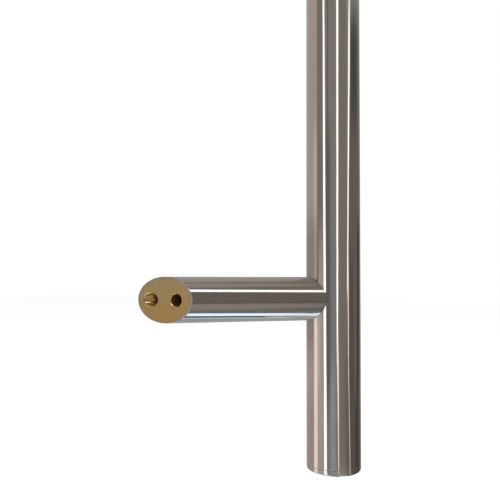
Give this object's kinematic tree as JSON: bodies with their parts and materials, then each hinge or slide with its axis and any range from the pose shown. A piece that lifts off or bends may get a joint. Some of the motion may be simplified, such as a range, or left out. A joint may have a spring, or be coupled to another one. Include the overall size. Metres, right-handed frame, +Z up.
{
  "type": "door pull handle",
  "caption": "Round-bar door pull in polished stainless steel, with angled tubular stand-offs that end in brass mounting inserts cut flush with the door.",
  "frame": {"origin": "on the door's face, midway between the two fixing holes", "axes": "+Z up along the grip, +Y out of the stand-offs' feet into the door, the room on the -Y side, +X from the grip towards the fixings and beyond"},
  "size_m": [0.1053, 0.0875, 0.6],
  "materials": {
    "grip_stainless": "polished stainless steel with a faint lengthwise grain",
    "cap_stainless": "polished stainless steel, turned",
    "standoff_stainless": "polished stainless steel with a faint lengthwise grain",
    "insert_brass": "satin machined brass",
    "fastener_steel": "plain stainless fasteners",
    "machined_steel": "turned stainless steel"
  },
  "bodies": {
    "root": {"grip_tube": "grip_stainless", "lower_end_cap": "cap_stainless", "upper_end_cap": "cap_stainless", "lower_standoff_tube": "standoff_stainless", "upper_standoff_tube": "standoff_stainless", "lower_mounting_insert": "insert_brass", "upper_mounting_insert": "insert_brass", "lower_set_screw": "fastener_steel", "upper_set_screw": "fastener_steel", "lower_joint_screw": "fastener_steel", "upper_joint_screw": "fastener_steel", "lower_spring_washer": "fastener_steel", "upper_spring_washer": "fastener_steel", "lower_standoff_abutment": "machined_steel", "upper_standoff_abutment": "machined_steel", "lower_saddle_nut": "machined_steel", "upper_saddle_nut": "machined_steel"}
  },
  "joints": []
}
